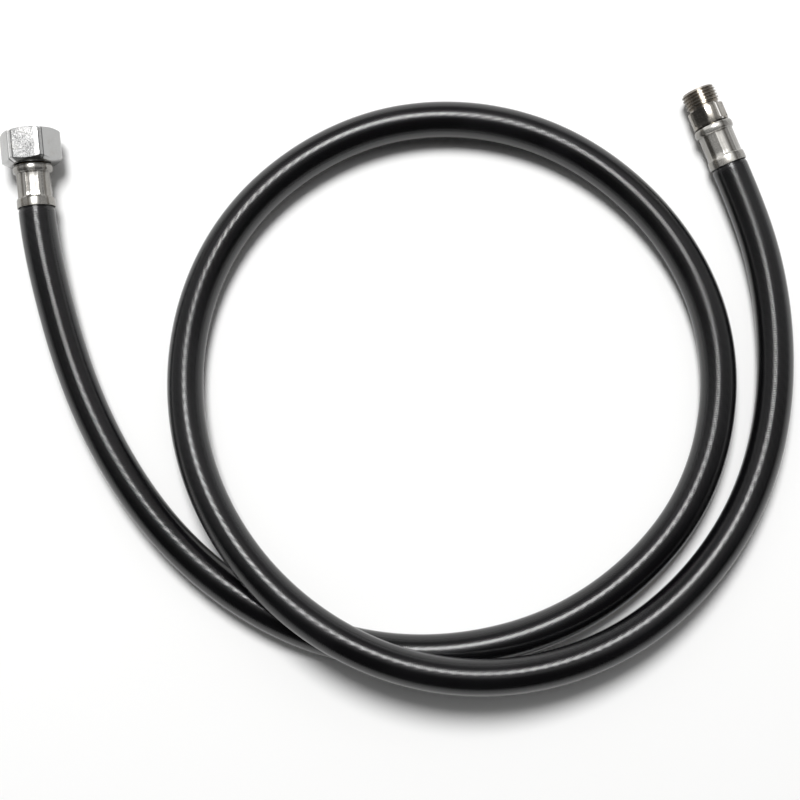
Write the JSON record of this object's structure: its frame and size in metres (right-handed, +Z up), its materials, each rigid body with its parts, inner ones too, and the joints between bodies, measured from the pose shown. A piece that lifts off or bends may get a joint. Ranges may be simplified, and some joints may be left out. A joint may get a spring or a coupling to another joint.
{
  "type": "flexible water hose",
  "caption": "Smooth black flexible water hose lying in one full turn, with a hex swivel nut crimped to one end and a threaded nipple to the other.",
  "frame": {"origin": "on the floor, at the middle of the box round the two fittings", "axes": "+X from the nut's end towards the nipple's end, +Y the way both fittings point, away from the turn of hose, +Z up from the floor"},
  "size_m": [0.3695, 0.2822, 0.0344],
  "materials": {
    "nut_plate": "nickel-plated brass, machined",
    "washer_rubber": "matt moulded rubber",
    "tail_brass": "turned brass",
    "ferrule_steel": "polished stainless sheet, crimped",
    "hose_skin": "semi-gloss black PVC over a braid",
    "nipple_plate": "nickel-plated brass, turned"
  },
  "bodies": {
    "hose_and_ends": {"hose": "hose_skin", "hose_end_nut": "hose_skin", "hose_end_nipple": "hose_skin", "nut_tail": "tail_brass", "nut_ferrule": "ferrule_steel", "nipple_ferrule": "ferrule_steel", "male_nipple": "nipple_plate"},
    "nut": {"swivel_nut": "nut_plate", "sealing_washer": "washer_rubber"}
  },
  "joints": [
    {"name": "nut_swivel", "type": "hinge", "parent": "hose_and_ends", "child": "nut", "pos_m": [-0.15902, -0.00623, 0.0125], "axis": [-0.1063, 0.9943, 0], "continuous": true}
  ]
}
